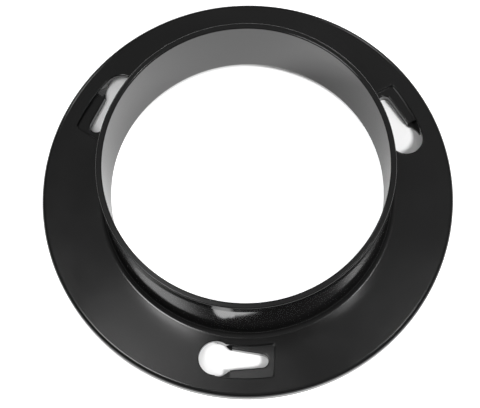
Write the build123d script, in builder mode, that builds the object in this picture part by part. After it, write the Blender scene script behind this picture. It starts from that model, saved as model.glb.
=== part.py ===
from build123d import *
from math import cos, radians, sin
import os

# A moulded plastic duct flange: a collar on a hollow ring plate with three ramped keyholes.
# Millimetres. The origin is on the collar's axis, in the plane that the flange stands on, +Z up.

# Collar
collar_radius = 100.0        # outside, where a 200 mm duct slides on
collar_wall = 4.5            # at the open end
overall_height = 78.0
rim_outer_round = 0.9
rim_inner_round = 0.6
collar_root_round = 5.0      # where the collar meets the plate

# Ring plate
flange_radius = 145.0
flange_thickness = 10.0
plate_skin = 4.0             # top skin over the hollow underside
skirt_wall = 3.0
skirt_round = 3.0            # top outer edge
hollow_corner_round = 1.5    # inside, where the skin meets the skirt

# Keyholes
keyhole_count = 3
keyhole_circle_inset = 2.5   # inside the middle of the ring plate's width
first_keyhole_angle = 16.1   # degrees, of one round entry from +X
lock_angle = 15.0            # degrees of turn from the round entry to the slot's end
entry_radius = 11.7
slot_mouth_radius = 8.5      # half the slot's width, carried back to the entry's centre
slot_end_radius = 4.7
entry_edge_round = 0.6
slot_edge_round = 0.9

# Ramped pad that the screw's head slides on, sunk into the plate
pad_inner_reach = 10.5       # from the keyhole circle towards the collar
pad_outer_reach = 12.0       # from the keyhole circle towards the plate's edge
pad_beyond_slot = 8.5        # from the slot's end centre to the step
pad_corner_round = 2.0
pad_height_at_step = 7.8
pad_height_at_lead = 5.8
lead_angle = 5.0             # degrees from the entry to the pad's first edge
lead_low_height = 2.0        # floor between the entry and the pad
boss_wall = 2.5              # round each pad, in the hollow underside

# Worked out from the sizes above
bore_radius = collar_radius - collar_wall
bell_mouth_round = collar_root_round + collar_wall
skirt_inner_radius = flange_radius - skirt_wall
hollow_depth = flange_thickness - plate_skin
keyhole_circle_radius = (collar_radius + flange_radius) / 2 - keyhole_circle_inset
pad_inner_radius = keyhole_circle_radius - pad_inner_reach
pad_outer_radius = keyhole_circle_radius + pad_outer_reach
pad_width = pad_outer_radius - pad_inner_radius
slot_axis = keyhole_circle_radius * cos(radians(lock_angle / 2))
slot_half_length = keyhole_circle_radius * sin(radians(lock_angle / 2))
keyhole_middle_angle = first_keyhole_angle + lock_angle / 2
lead_direction = lead_angle - lock_angle / 2
pad_step = slot_half_length + pad_beyond_slot
pad_length = slot_half_length + pad_step
ramp_slope = (pad_height_at_step - pad_height_at_lead) / pad_length
cut_margin = 1.0             # by which a cutter passes the face that it opens

# Every keyhole is drawn once, with its middle on +X and its slot along +Y.
entry_centre = (slot_axis, -slot_half_length)
slot_end_centre = (slot_axis, slot_half_length)

# The slot, which narrows from the entry to the screw's shank
with BuildPart() as slot:
    with BuildSketch(Plane.XY.offset(-cut_margin)):
        with Locations(entry_centre):
            Circle(slot_mouth_radius)
        with Locations(slot_end_centre):
            Circle(slot_end_radius)
        make_hull()
    extrude(amount=flange_thickness + 2 * cut_margin)

# The ramp under the screw's head, from its first edge to beyond the step, and the low lead before it
with BuildPart() as ramp:
    with BuildSketch(Plane.YZ.offset(pad_inner_radius - boss_wall)):
        with BuildLine():
            Polyline(
                (-slot_half_length, -2 * cut_margin),
                (-slot_half_length, pad_height_at_lead),
                (pad_step + pad_beyond_slot, pad_height_at_step + ramp_slope * pad_beyond_slot),
                (pad_step + pad_beyond_slot, -2 * cut_margin),
                close=True,
            )
        make_face()
    extrude(amount=pad_width + 2 * boss_wall)
    with BuildSketch(Plane.XY.offset(-2 * cut_margin)):
        with BuildLine():
            Polyline(
                (0, 0),
                (2 * flange_radius * cos(radians(lead_direction)),
                 2 * flange_radius * sin(radians(lead_direction))),
                (2 * flange_radius * cos(radians(lead_direction)), -2 * flange_radius),
                (0, -2 * flange_radius),
                close=True,
            )
        make_face()
    extrude(amount=flange_thickness + 3 * cut_margin, mode=Mode.SUBTRACT)
    with BuildSketch(Plane.XY.offset(-2 * cut_margin)):
        with Locations(((pad_inner_radius + pad_outer_radius) / 2, -slot_half_length)):
            Rectangle(pad_width + 2 * boss_wall, pad_length, align=(Align.CENTER, Align.MIN))
    extrude(amount=lead_low_height + 2 * cut_margin)
    add(slot.part, mode=Mode.SUBTRACT)
    ramp_face = ramp.faces().sort_by(Axis.Z)[-1]
    slot_edges = ramp_face.edges().filter_by_position(
        Axis.X, slot_axis - slot_mouth_radius, slot_axis + slot_mouth_radius
    )
    slot_edges = slot_edges.filter_by_position(Axis.Y, -slot_half_length, pad_step)
    slot_edges = [edge for edge in slot_edges if edge.length > slot_end_radius]
    fillet(slot_edges, slot_edge_round)

# The pocket over a pad: its outline down through the plate, less the ramp and the low lead
with BuildPart() as pad_pocket:
    with BuildSketch(Plane.XY.offset(-cut_margin)):
        Circle(pad_outer_radius)
        Circle(pad_inner_radius, mode=Mode.SUBTRACT)
        with Locations(entry_centre):
            Rectangle(
                2 * pad_width, pad_length,
                align=(Align.CENTER, Align.MIN), mode=Mode.INTERSECT,
            )
    extrude(amount=flange_thickness + 2 * cut_margin)
    step_edges = pad_pocket.edges().filter_by(Axis.Z).group_by(Axis.Y)[-1]
    fillet(step_edges, pad_corner_round)
    add(ramp.part, mode=Mode.SUBTRACT)

# The keyhole: a round entry for the screw's head, and the slot
with BuildPart() as keyhole:
    with BuildSketch(Plane.XY.offset(-cut_margin)):
        with Locations(entry_centre):
            Circle(entry_radius)
    extrude(amount=flange_thickness + 2 * cut_margin)
    # The entry's upper edge opens with a small radius
    with BuildSketch(Plane((*entry_centre, flange_thickness), x_dir=(1, 0, 0), z_dir=(0, -1, 0))):
        with BuildLine():
            Polyline(
                (entry_radius, -entry_edge_round),
                (entry_radius - cut_margin, -entry_edge_round),
                (entry_radius - cut_margin, cut_margin),
                (entry_radius + entry_edge_round, cut_margin),
                (entry_radius + entry_edge_round, 0),
            )
            RadiusArc(
                (entry_radius, -entry_edge_round), (entry_radius + entry_edge_round, 0), entry_edge_round
            )
        make_face()
    revolve(axis=Axis((*entry_centre, 0), (0, 0, 1)))
    add(slot.part)

# The boss that carries a pad down to the plane of the foot, in the hollow underside
with BuildPart() as boss:
    with BuildSketch():
        Circle(pad_outer_radius + boss_wall)
        Circle(pad_inner_radius - boss_wall, mode=Mode.SUBTRACT)
        with Locations(entry_centre):
            Rectangle(
                2 * pad_width, pad_length + boss_wall,
                align=(Align.CENTER, Align.MIN), mode=Mode.INTERSECT,
            )
    extrude(amount=flange_thickness - plate_skin / 2)

with BuildPart() as duct_flange:
    # Half section of the collar, the skin and the skirt, turned about the axis
    with BuildSketch(Plane.XZ):
        with BuildLine():
            Polyline(
                (bore_radius, overall_height),
                (collar_radius, overall_height),
                (collar_radius, flange_thickness),
                (flange_radius, flange_thickness),
                (flange_radius, 0),
                (skirt_inner_radius, 0),
                (skirt_inner_radius, hollow_depth),
                (bore_radius, hollow_depth),
                close=True,
            )
        make_face()
    revolve(axis=Axis.Z)

    # Rounded edges of the turned body
    rings = duct_flange.edges().filter_by(GeomType.CIRCLE)
    rim_rings = rings.group_by(Axis.Z)[-1].sort_by(SortBy.RADIUS)
    plate_rings = rings.group_by(Axis.Z)[-2].sort_by(SortBy.RADIUS)
    hollow_rings = rings.group_by(Axis.Z)[-3].sort_by(SortBy.RADIUS)
    fillet(rim_rings[0], rim_inner_round)
    fillet(rim_rings[-1], rim_outer_round)
    fillet(plate_rings[0], collar_root_round)
    fillet(plate_rings[-1], skirt_round)
    fillet(hollow_rings[0], bell_mouth_round)
    fillet(hollow_rings[-1], hollow_corner_round)

    with PolarLocations(0, keyhole_count, start_angle=keyhole_middle_angle):
        add(boss.part)
    with PolarLocations(0, keyhole_count, start_angle=keyhole_middle_angle):
        add(pad_pocket.part, mode=Mode.SUBTRACT)
        add(keyhole.part, mode=Mode.SUBTRACT)

duct_flange.part.label = "duct_flange"

os.makedirs("parts", exist_ok=True)
export_step(duct_flange.part, "parts/duct_flange.step")
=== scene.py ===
from math import acos, atan2, cos, pi, radians, sin, sqrt

import bmesh
import bpy
import numpy as np
from mathutils import Matrix, Vector


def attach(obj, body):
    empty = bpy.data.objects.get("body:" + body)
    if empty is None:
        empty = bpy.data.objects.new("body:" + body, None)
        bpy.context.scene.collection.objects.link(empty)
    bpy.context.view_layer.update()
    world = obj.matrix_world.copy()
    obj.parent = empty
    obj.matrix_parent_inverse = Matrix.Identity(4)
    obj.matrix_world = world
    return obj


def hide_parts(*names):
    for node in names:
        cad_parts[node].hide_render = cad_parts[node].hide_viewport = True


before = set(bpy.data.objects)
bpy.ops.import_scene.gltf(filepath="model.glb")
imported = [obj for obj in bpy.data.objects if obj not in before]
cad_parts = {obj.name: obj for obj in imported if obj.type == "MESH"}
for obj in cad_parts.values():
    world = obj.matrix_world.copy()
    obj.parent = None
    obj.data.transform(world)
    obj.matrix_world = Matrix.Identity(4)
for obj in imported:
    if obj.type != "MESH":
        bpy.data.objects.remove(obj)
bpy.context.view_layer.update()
scene = bpy.context.scene
scene.view_settings.view_transform = "Standard"

# The moulding's sizes, in millimetres. They are the solid's, apart from these edges, which only
# the scene refines: the rim's inner round, the lead-in, and the rounds of the entries and pads.
COLLAR_RADIUS = 100.0
BORE_RADIUS = 95.5
HEIGHT = 78.0
RIM_OUTER_ROUND = 0.9
RIM_INNER_ROUND = 1.1
LEAD_IN_HEIGHT = 8.0     # slight taper at the open end, for the duct
LEAD_IN_DEPTH = 0.5
ROOT_ROUND = 5.0
BELL_MOUTH_ROUND = 9.5
PLATE_RADIUS = 145.0
PLATE_TOP = 10.0
PLATE_UNDERSIDE = 6.0
SKIRT_INNER_RADIUS = 142.0
SKIRT_ROUND = 3.0
HOLLOW_ROUND = 1.5
KEYHOLE_CIRCLE = 120.0
FIRST_ENTRY_ANGLE = 16.1
LOCK_ANGLE = 15.0
ENTRY_RADIUS = 11.7
SLOT_MOUTH_RADIUS = 8.5
SLOT_END_RADIUS = 4.7
ENTRY_EDGE_ROUND = 0.9
SLOT_EDGE_ROUND = 0.9
PAD_INNER_RADIUS = 109.5
PAD_OUTER_RADIUS = 132.0
PAD_BEYOND_SLOT = 8.5
PAD_CORNER_ROUND = 2.0
PAD_HEIGHT_AT_STEP = 7.8
PAD_HEIGHT_AT_LEAD = 5.8
LEAD_DIRECTION = -2.5
LEAD_FLOOR = 2.0
BOSS_WALL = 2.5
BOSS_TOP = 8.0
POCKET_EDGE_ROUND = 0.9
MM = 0.001

SLOT_AXIS = KEYHOLE_CIRCLE * cos(radians(LOCK_ANGLE / 2))
SLOT_HALF = KEYHOLE_CIRCLE * sin(radians(LOCK_ANGLE / 2))
PAD_STEP = SLOT_HALF + PAD_BEYOND_SLOT
RAMP_SLOPE = (PAD_HEIGHT_AT_STEP - PAD_HEIGHT_AT_LEAD) / (SLOT_HALF + PAD_STEP)
KEYHOLE_ANGLES = [FIRST_ENTRY_ANGLE + LOCK_ANGLE / 2 + turn for turn in (0, 120, 240)]


# The turned body
def line(start, end):
    return {"kind": "line", "a": np.array(start, float), "b": np.array(end, float)}


def arc(centre, radius, first, last, hollow=False):
    return {"kind": "arc", "c": np.array(centre, float), "r": radius,
            "t": (radians(first), radians(last)), "side": -1.0 if hollow else 1.0}


def body_profile():
    """The half section, walked with the material on the right: up the bore, over the rim and out."""
    root = (COLLAR_RADIUS + ROOT_ROUND, PLATE_TOP + ROOT_ROUND)
    skirt = (PLATE_RADIUS - SKIRT_ROUND, PLATE_TOP - SKIRT_ROUND)
    hollow = (SKIRT_INNER_RADIUS - HOLLOW_ROUND, PLATE_UNDERSIDE - HOLLOW_ROUND)
    mouth = (BORE_RADIUS + BELL_MOUTH_ROUND, PLATE_UNDERSIDE + BELL_MOUTH_ROUND)
    rim_in = (BORE_RADIUS + RIM_INNER_ROUND, HEIGHT - RIM_INNER_ROUND)
    rim_radius = COLLAR_RADIUS - LEAD_IN_DEPTH
    rim_out = (rim_radius - RIM_OUTER_ROUND, HEIGHT - RIM_OUTER_ROUND)
    shoulder = (COLLAR_RADIUS, HEIGHT - LEAD_IN_HEIGHT)
    return [
        line((BORE_RADIUS, mouth[1]), (BORE_RADIUS, rim_in[1])),
        arc(rim_in, RIM_INNER_ROUND, 180, 90),
        line((rim_in[0], HEIGHT), (rim_out[0], HEIGHT)),
        arc(rim_out, RIM_OUTER_ROUND, 90, 0),
        line((rim_radius, rim_out[1]), shoulder),
        line(shoulder, (COLLAR_RADIUS, root[1])),
        arc(root, ROOT_ROUND, 180, 270, hollow=True),
        line((root[0], PLATE_TOP), (skirt[0], PLATE_TOP)),
        arc(skirt, SKIRT_ROUND, 90, 0),
        line((PLATE_RADIUS, skirt[1]), (PLATE_RADIUS, 0)),
        line((PLATE_RADIUS, 0), (SKIRT_INNER_RADIUS, 0)),
        line((SKIRT_INNER_RADIUS, 0), (SKIRT_INNER_RADIUS, hollow[1])),
        arc(hollow, HOLLOW_ROUND, 0, 90, hollow=True),
        line((hollow[0], PLATE_UNDERSIDE), (mouth[0], PLATE_UNDERSIDE)),
        arc(mouth, BELL_MOUTH_ROUND, 270, 180),
    ]


def profile_points(profile, arc_step=0.35):
    points = []
    for piece in profile:
        if piece["kind"] == "line":
            points.append(piece["a"])
            continue
        first, last = piece["t"]
        count = max(8, round(piece["r"] * pi / 2 / arc_step))
        for k in range(count):
            t = first + (last - first) * k / count
            points.append(piece["c"] + piece["r"] * np.array([cos(t), sin(t)]))
    return points


def turned(points, steps):
    """The closed ring of a half section that is turned about the axis."""
    verts = []
    for k in range(steps):
        t = 2 * pi * k / steps
        verts += [(r * cos(t), r * sin(t), z) for r, z in points]
    n = len(points)
    faces = []
    for k in range(steps):
        for i in range(n):
            a, b = k * n + i, k * n + (i + 1) % n
            c, d = (k + 1) % steps * n + (i + 1) % n, (k + 1) % steps * n + i
            faces.append((a, b, c, d))
    return verts, faces


# The keyholes' outlines
def circle_points(centre, radius, grow, steps=128):
    t = np.linspace(0, 2 * pi, steps, endpoint=False)
    return np.column_stack([centre[0] + (radius + grow) * np.cos(t), centre[1] + (radius + grow) * np.sin(t)])


def slot_points(grow):
    """The outline round the slot's two circles, which lie along +Y."""
    lean = acos((SLOT_MOUTH_RADIUS - SLOT_END_RADIUS) / (2 * SLOT_HALF))
    end = np.linspace(pi / 2 - lean, pi / 2 + lean, 49)
    mouth = np.linspace(pi / 2 + lean, 5 * pi / 2 - lean, 65)
    parts = []
    for angles, radius, y in ((end, SLOT_END_RADIUS, SLOT_HALF), (mouth, SLOT_MOUTH_RADIUS, -SLOT_HALF)):
        reach = radius + grow
        parts.append(np.column_stack([SLOT_AXIS + reach * np.cos(angles), y + reach * np.sin(angles)]))
    return np.vstack(parts)


def pad_points(inner, outer, step, corner, grow=0.0, arc_steps=60):
    """A ring sector from the entry's centre line to the step, with its corners at the step rounded."""
    start = -SLOT_HALF
    out_y = step - corner
    out_x = sqrt((outer - corner) ** 2 - out_y ** 2)
    in_x = sqrt((inner + corner) ** 2 - out_y ** 2)
    out_turn, in_turn = atan2(out_y, out_x), atan2(out_y, in_x)
    rows = []
    for t in np.linspace(atan2(start, sqrt(outer ** 2 - start ** 2)), out_turn, arc_steps):
        rows.append(((outer + grow) * cos(t), (outer + grow) * sin(t)))
    if corner:
        for t in np.linspace(out_turn, pi / 2, 13)[1:]:
            rows.append((out_x + (corner + grow) * cos(t), out_y + (corner + grow) * sin(t)))
        for t in np.linspace(pi / 2, pi + in_turn, 13):
            rows.append((in_x + (corner + grow) * cos(t), out_y + (corner + grow) * sin(t)))
    for t in np.linspace(in_turn, atan2(start, sqrt(inner ** 2 - start ** 2)), arc_steps)[bool(corner):]:
        rows.append(((inner - grow) * cos(t), (inner - grow) * sin(t)))
    return np.array(rows)


def before_lead(outline):
    """The part of an outline on the entry's side of the lead line."""
    side = outline[:, 1] * cos(radians(LEAD_DIRECTION)) - outline[:, 0] * sin(radians(LEAD_DIRECTION))
    kept = []
    for k in range(len(outline)):
        a, b, sa, sb = outline[k - 1], outline[k], side[k - 1], side[k]
        if (sa < 0) != (sb < 0):
            kept.append(a + (b - a) * sa / (sa - sb))
        if sb < 0:
            kept.append(b)
    return np.array(kept)


def ramp_height(points):
    return PAD_HEIGHT_AT_LEAD + RAMP_SLOPE * (points[:, 1] + SLOT_HALF)


def stack(rings, angles):
    """Closed solids between rings of points, one below the other, copied to each keyhole."""
    verts, faces = [], []
    n = len(rings[0])
    for angle in angles:
        base = len(verts)
        c, s = cos(radians(angle)), sin(radians(angle))
        for ring in rings:
            verts += [(x * c - y * s, x * s + y * c, z) for x, y, z in ring]
        for k in range(len(rings) - 1):
            for i in range(n):
                low, high = base + k * n, base + (k + 1) * n
                j = (i + 1) % n
                faces.append((low + i, low + j, high + j, high + i))
        faces.append(tuple(base + i for i in reversed(range(n))))
        faces.append(tuple(base + (len(rings) - 1) * n + i for i in range(n)))
    return verts, faces


def at_height(outline, z):
    return np.column_stack([outline, np.broadcast_to(z, len(outline))])


def flared(outline, surface, radius, bottom, steps=8):
    """Rings of an opening whose edge at the surface is rounded: outline(grow), surface(points)."""
    foot = outline(0.0)
    rings = [at_height(foot, bottom(foot) if callable(bottom) else bottom)]
    for k in range(steps + 1):
        t = pi / 2 * k / steps
        ring = outline(radius * (1 - cos(t)))
        rings.append(at_height(ring, surface(foot) - radius * (1 - sin(t))))
    rings.append(at_height(outline(radius), PLATE_TOP + 1.0))
    return rings


# Mesh helpers
def mesh_object(name, verts, faces):
    mesh = bpy.data.meshes.new(name)
    mesh.from_pydata([tuple(c * MM for c in v) for v in verts], [], faces)
    work = bmesh.new()
    work.from_mesh(mesh)
    bmesh.ops.recalc_face_normals(work, faces=work.faces)
    work.to_mesh(mesh)
    work.free()
    made = bpy.data.objects.new(name, mesh)
    scene.collection.objects.link(made)
    return made


def combine(body, tool, how):
    step = body.modifiers.new(how, "BOOLEAN")
    step.operation = how
    step.solver = "EXACT"
    step.object = tool
    shape = bpy.data.meshes.new_from_object(body.evaluated_get(bpy.context.evaluated_depsgraph_get()))
    body.modifiers.clear()
    body.data = shape
    bpy.data.objects.remove(tool)


def profile_normals(profile, r, z, facing):
    """The profile's own normal at points near it, for the piece that best agrees with the facet's."""
    best = np.full(len(r), -1.0)
    found = np.zeros((len(r), 2))
    near = 0.03
    for piece in profile:
        if piece["kind"] == "line":
            along = piece["b"] - piece["a"]
            length = np.hypot(*along)
            along = along / length
            normal = np.array([-along[1], along[0]])
            off = (r - piece["a"][0]) * normal[0] + (z - piece["a"][1]) * normal[1]
            run = (r - piece["a"][0]) * along[0] + (z - piece["a"][1]) * along[1]
            close = (np.abs(off) < near) & (run > -near) & (run < length + near)
            normals = np.broadcast_to(normal, (len(r), 2))
        else:
            dr, dz = r - piece["c"][0], z - piece["c"][1]
            reach = np.maximum(np.hypot(dr, dz), 1e-6)
            low, high = sorted(piece["t"])
            turn = np.mod(np.arctan2(dz, dr) - low + 0.05, 2 * pi)
            close = (np.abs(reach - piece["r"]) < near) & (turn < high - low + 0.1)
            normals = np.column_stack([dr / reach, dz / reach]) * piece["side"]
        match = np.where(close, normals[:, 0] * facing[:, 0] + normals[:, 1] * facing[:, 1], -1.0)
        better = match > best
        best[better] = match[better]
        found[better] = normals[better]
    return best, found


def smooth_normals(mesh, profile, same_piece=radians(14), same_bend=radians(32)):
    """Exact normals on the turned faces; elsewhere the mean of the facets that bend into each other."""
    count = len(mesh.loops)
    corner = np.empty(count, int)
    mesh.loops.foreach_get("vertex_index", corner)
    points = np.empty(len(mesh.vertices) * 3)
    mesh.vertices.foreach_get("co", points)
    points = points.reshape(-1, 3) / MM
    facets = np.empty(len(mesh.polygons) * 3)
    mesh.polygons.foreach_get("normal", facets)
    facets = facets.reshape(-1, 3)
    areas = np.empty(len(mesh.polygons))
    mesh.polygons.foreach_get("area", areas)
    totals = np.empty(len(mesh.polygons), int)
    mesh.polygons.foreach_get("loop_total", totals)
    owner = np.repeat(np.arange(len(mesh.polygons)), totals)

    at = points[corner]
    own = facets[owner]
    r = np.hypot(at[:, 0], at[:, 1])
    out = at[:, :2] / r[:, None]
    across = own[:, 0] * out[:, 0] + own[:, 1] * out[:, 1]
    match, flat = profile_normals(profile, r, at[:, 2], np.column_stack([across, own[:, 2]]))
    exact = match > cos(same_piece)
    normals = np.column_stack([out * flat[:, :1], flat[:, 1]])

    order = np.argsort(corner, kind="stable")
    starts = np.searchsorted(corner[order], np.arange(len(points) + 1))
    limit = cos(same_bend)
    for k in np.flatnonzero(~exact):
        around = owner[order[starts[corner[k]]:starts[corner[k] + 1]]]
        near = around[facets[around] @ own[k] > limit]
        weights = np.minimum(areas[near], 4e-6)[:, None]
        normals[k] = (facets[near] * weights).sum(axis=0) + 1e-12 * own[k]
    normals /= np.linalg.norm(normals, axis=1)[:, None]
    mesh.polygons.foreach_set("use_smooth", np.ones(len(mesh.polygons), bool))
    mesh.normals_split_custom_set(normals.tolist())


# The moulding
def build_flange():
    profile = body_profile()
    body = mesh_object("flange", *turned(profile_points(profile), 360))

    def pocket(grow):
        return pad_points(PAD_INNER_RADIUS, PAD_OUTER_RADIUS, PAD_STEP, PAD_CORNER_ROUND, grow)

    def entry(grow):
        return circle_points((SLOT_AXIS, -SLOT_HALF), ENTRY_RADIUS, grow)

    def plate(points):
        return np.full(len(points), PLATE_TOP)

    boss = pad_points(
        PAD_INNER_RADIUS - BOSS_WALL, PAD_OUTER_RADIUS + BOSS_WALL, PAD_STEP + BOSS_WALL, corner=0)
    tools = [
        ("UNION", [at_height(boss, 0.0), at_height(boss, BOSS_TOP)]),
        ("DIFFERENCE", flared(pocket, plate, POCKET_EDGE_ROUND, ramp_height)),
        ("DIFFERENCE", [at_height(before_lead(pocket(-0.02)), LEAD_FLOOR),
                        at_height(before_lead(pocket(-0.02)), BOSS_TOP)]),
        ("DIFFERENCE", flared(slot_points, ramp_height, SLOT_EDGE_ROUND, -1.0)),
        ("DIFFERENCE", flared(entry, plate, ENTRY_EDGE_ROUND, -1.0)),
    ]
    for how, rings in tools:
        combine(body, mesh_object("tool", *stack(rings, KEYHOLE_ANGLES)), how)

    work = bmesh.new()
    work.from_mesh(body.data)
    bmesh.ops.remove_doubles(work, verts=work.verts, dist=2e-6)
    bmesh.ops.dissolve_degenerate(work, edges=work.edges, dist=1e-6)
    work.to_mesh(body.data)
    open_edges = sum(not edge.is_manifold for edge in work.edges)
    triangles = sum(len(face.verts) - 2 for face in work.faces)
    work.free()
    print("flange: %d triangles, %d open edges" % (triangles, open_edges))
    smooth_normals(body.data, profile)
    return body


# Materials
def node(tree, kind, x=0, y=0, **values):
    made = tree.nodes.new(kind)
    made.location = (x, y)
    for name, value in values.items():
        setattr(made, name, value)
    return made


def black_plastic():
    made = bpy.data.materials.new("black_plastic")
    made.use_nodes = True
    tree = made.node_tree
    tree.nodes.clear()
    link = tree.links.new
    out = node(tree, "ShaderNodeOutputMaterial", 900, 0)
    shader = node(tree, "ShaderNodeBsdfPrincipled", 600, 0)
    link(shader.outputs["BSDF"], out.inputs["Surface"])
    shader.inputs["Base Color"].default_value = (0.005, 0.005, 0.005, 1)
    shader.inputs["IOR"].default_value = 1.5
    coords = node(tree, "ShaderNodeTexCoord", -1200, 0)

    # The turned walls and rounded edges are polished, and what lies flat is a little duller
    parts = node(tree, "ShaderNodeSeparateXYZ", -1000, 200)
    link(coords.outputs["Normal"], parts.inputs["Vector"])
    height = node(tree, "ShaderNodeMapRange", -700, 200)
    height.inputs["From Min"].default_value = 0.96
    height.inputs["From Max"].default_value = 1.0
    height.inputs["To Min"].default_value = 0.09
    height.inputs["To Max"].default_value = 0.18
    link(parts.outputs["Z"], height.inputs["Value"])
    patches = node(tree, "ShaderNodeTexNoise", -1000, -50)
    patches.inputs["Scale"].default_value = 28.0
    patches.inputs["Detail"].default_value = 3.0
    link(coords.outputs["Object"], patches.inputs["Vector"])
    spread = node(tree, "ShaderNodeMapRange", -700, -50)
    spread.inputs["From Min"].default_value = 0.3
    spread.inputs["From Max"].default_value = 0.7
    spread.inputs["To Min"].default_value = 0.8
    spread.inputs["To Max"].default_value = 1.2
    link(patches.outputs["Fac"], spread.inputs["Value"])
    rough = node(tree, "ShaderNodeMath", -400, 100, operation="MULTIPLY")
    link(height.outputs["Result"], rough.inputs[0])
    link(spread.outputs["Result"], rough.inputs[1])
    link(rough.outputs[0], shader.inputs["Roughness"])

    # Slow waves that the moulding cooled with
    waves = node(tree, "ShaderNodeTexNoise", -700, -350)
    waves.inputs["Scale"].default_value = 35.0
    waves.inputs["Detail"].default_value = 2.0
    link(coords.outputs["Object"], waves.inputs["Vector"])
    bump = node(tree, "ShaderNodeBump", -300, -350)
    bump.inputs["Strength"].default_value = 1.0
    bump.inputs["Distance"].default_value = 0.00006
    link(waves.outputs["Fac"], bump.inputs["Height"])
    link(bump.outputs["Normal"], shader.inputs["Normal"])
    return made


def white_floor():
    made = bpy.data.materials.new("floor")
    made.use_nodes = True
    tree = made.node_tree
    tree.nodes.clear()
    link = tree.links.new
    out = node(tree, "ShaderNodeOutputMaterial", 800, 0)
    diffuse = node(tree, "ShaderNodeBsdfDiffuse", 200, 0)
    diffuse.inputs["Color"].default_value = (0.9, 0.9, 0.9, 1)
    glow = node(tree, "ShaderNodeEmission", 200, -150)
    both = node(tree, "ShaderNodeAddShader", 500, 0)
    ray = node(tree, "ShaderNodeLightPath", -900, -150)

    # The floor is white to the camera, but in a fixed ring under the plate its glow is taken out as painted
    # shade, so there only the lamps light it, with their real shadows
    coords = node(tree, "ShaderNodeTexCoord", -1100, -500)
    reach = node(tree, "ShaderNodeVectorMath", -900, -500, operation="LENGTH")
    link(coords.outputs["Object"], reach.inputs[0])
    outside = node(tree, "ShaderNodeMapRange", -700, -400)
    outside.inputs["From Min"].default_value = 0.1395
    outside.inputs["From Max"].default_value = 0.1425
    inside = node(tree, "ShaderNodeMapRange", -700, -650)
    inside.inputs["From Min"].default_value = 0.1005
    inside.inputs["From Max"].default_value = 0.0985
    link(reach.outputs["Value"], outside.inputs["Value"])
    link(reach.outputs["Value"], inside.inputs["Value"])
    # 1 outside the plate and inside the bore, 0 in the ring of painted shade under the plate
    clear = node(tree, "ShaderNodeMath", -500, -500, operation="ADD", use_clamp=True)
    link(outside.outputs["Result"], clear.inputs[0])
    link(inside.outputs["Result"], clear.inputs[1])
    seen = node(tree, "ShaderNodeMapRange", -300, -500)
    seen.inputs["To Min"].default_value = GLOW_IN_PAINTED_SHADE
    seen.inputs["To Max"].default_value = GLOW_IN_VIEW
    link(clear.outputs[0], seen.inputs["Value"])
    to_camera = node(tree, "ShaderNodeMath", -100, -300, operation="MULTIPLY")
    link(ray.outputs["Is Camera Ray"], to_camera.inputs[0])
    link(seen.outputs["Result"], to_camera.inputs[1])
    to_gloss = node(tree, "ShaderNodeMath", -100, -150, operation="MULTIPLY")
    to_gloss.inputs[1].default_value = GLOW_IN_GLOSS
    link(ray.outputs["Is Glossy Ray"], to_gloss.inputs[0])
    strength = node(tree, "ShaderNodeMath", 50, -250, operation="ADD")
    link(to_camera.outputs[0], strength.inputs[0])
    link(to_gloss.outputs[0], strength.inputs[1])
    link(strength.outputs[0], glow.inputs["Strength"])
    link(diffuse.outputs["BSDF"], both.inputs[0])
    link(glow.outputs["Emission"], both.inputs[1])
    link(both.outputs[0], out.inputs["Surface"])
    return made


# Camera
# The photograph is 480 x 408; the flange lies flat and is seen from high above its near side.
PHOTO_WIDTH = 480.0
PHOTO_HEIGHT = 408.0
FOCAL_PX = 1450.0
DISTANCE = 1031.5
ELEVATION = 72.93
ROLL = 3.72
AXIS_PX = (247.5, 196.7)
ENTRY_TURN = 0.1         # degrees by which the CAD's keyholes lie further round than the picture's


def place_camera():
    e = radians(ELEVATION)
    c, s = cos(radians(ROLL)), sin(radians(ROLL))
    right = Vector((1, 0, 0))
    up = Vector((0, sin(e), cos(e)))
    back = Vector((0, -cos(e), sin(e)))
    cam_x = right * c - up * s
    cam_y = right * s + up * c
    off_x = (AXIS_PX[0] - PHOTO_WIDTH / 2) * DISTANCE / FOCAL_PX
    off_y = (PHOTO_HEIGHT / 2 - AXIS_PX[1]) * DISTANCE / FOCAL_PX
    place = (back * DISTANCE - cam_x * off_x - cam_y * off_y) * MM
    lens = bpy.data.cameras.new("camera")
    camera = bpy.data.objects.new("camera", lens)
    scene.collection.objects.link(camera)
    basis = Matrix((cam_x, cam_y, back)).transposed().to_4x4()
    turn = Matrix.Rotation(radians(ENTRY_TURN), 4, "Z")
    camera.matrix_world = turn @ (Matrix.Translation(place) @ basis)
    lens.sensor_fit = "HORIZONTAL"
    lens.sensor_width = 36.0
    lens.lens = FOCAL_PX * lens.sensor_width / PHOTO_WIDTH
    lens.clip_start = 0.05
    lens.clip_end = 20.0
    scene.camera = camera


# Light
SKY = 0.27
HORIZON = 0.065
# the floor's glow to the camera in its ring of painted shade under the plate
GLOW_IN_PAINTED_SHADE = 0.0
GLOW_IN_VIEW = 0.7
GLOW_IN_GLOSS = 0.05


def lamp(name, azimuth, height, distance, size, power, in_gloss=True):
    """A round soft lamp that looks at the flange from an azimuth and a height, both in degrees."""
    data = bpy.data.lights.new(name, "AREA")
    data.shape = "DISK"
    data.size = size
    data.energy = power
    a, h = radians(azimuth), radians(height)
    made = bpy.data.objects.new(name, data)
    made.location = (distance * cos(h) * cos(a), distance * cos(h) * sin(a), distance * sin(h))
    made.rotation_mode = "QUATERNION"
    made.rotation_quaternion = (-made.location).to_track_quat("-Z", "Y")
    made.visible_glossy = in_gloss
    scene.collection.objects.link(made)
    return made


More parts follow.
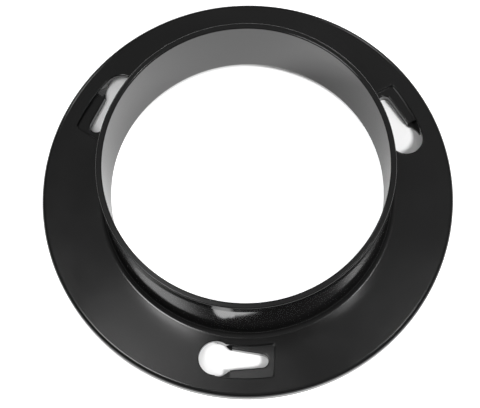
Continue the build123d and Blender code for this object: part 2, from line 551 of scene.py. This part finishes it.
def white_world():
    world = bpy.data.worlds.new("world")
    scene.world = world
    world.use_nodes = True
    tree = world.node_tree
    tree.nodes.clear()
    out = node(tree, "ShaderNodeOutputWorld", 600, 0)
    sky = node(tree, "ShaderNodeBackground", 300, 0)
    sky.inputs["Color"].default_value = (1, 1, 1, 1)
    coords = node(tree, "ShaderNodeTexCoord", -600, 0)
    parts = node(tree, "ShaderNodeSeparateXYZ", -400, 0)
    tree.links.new(coords.outputs["Generated"], parts.inputs["Vector"])
    rise = node(tree, "ShaderNodeMapRange", -200, 0)
    rise.inputs["From Min"].default_value = 0.45
    rise.inputs["From Max"].default_value = 0.85
    rise.inputs["To Min"].default_value = HORIZON
    rise.inputs["To Max"].default_value = SKY
    tree.links.new(parts.outputs["Z"], rise.inputs["Value"])
    ray = node(tree, "ShaderNodeLightPath", -200, 250)
    seen = node(tree, "ShaderNodeMath", 50, 100, operation="MAXIMUM")
    tree.links.new(ray.outputs["Is Camera Ray"], seen.inputs[0])
    tree.links.new(rise.outputs["Result"], seen.inputs[1])
    tree.links.new(seen.outputs[0], sky.inputs["Strength"])
    tree.links.new(sky.outputs["Background"], out.inputs["Surface"])


def lay_floor():
    half = 3.0
    mesh = bpy.data.meshes.new("floor")
    corners = [(-half, -half, 0), (half, -half, 0), (half, half, 0), (-half, half, 0)]
    mesh.from_pydata(corners, [], [(0, 1, 2, 3)])
    floor = bpy.data.objects.new("floor", mesh)
    scene.collection.objects.link(floor)
    floor.location.z = -0.0002
    mesh.materials.append(white_floor())


flange = build_flange()
flange.data.materials.clear()
flange.data.materials.append(black_plastic())
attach(flange, "root")
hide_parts("duct_flange")

place_camera()
lay_floor()
white_world()
lamp("key_right", -33, 50, 1.8, 0.4, 28, in_gloss=False)
lamp("fill_left", -133, 52, 1.9, 0.7, 8, in_gloss=False)
lamp("lamp_back_right", 64, 45, 1.8, 0.3, 2)
lamp("lamp_back_left", 125, 45, 1.8, 0.3, 2)
lamp("softbox_left", 192, 73, 1.25, 0.34, 3.6)
lamp("softbox_right", 3, 73, 1.25, 0.26, 0.5)
lamp("strip_right", -1, 72.5, 1.25, 0.09, 0.55)
lamp("sheen_left", 132, 80, 1.22, 0.2, 0.12)
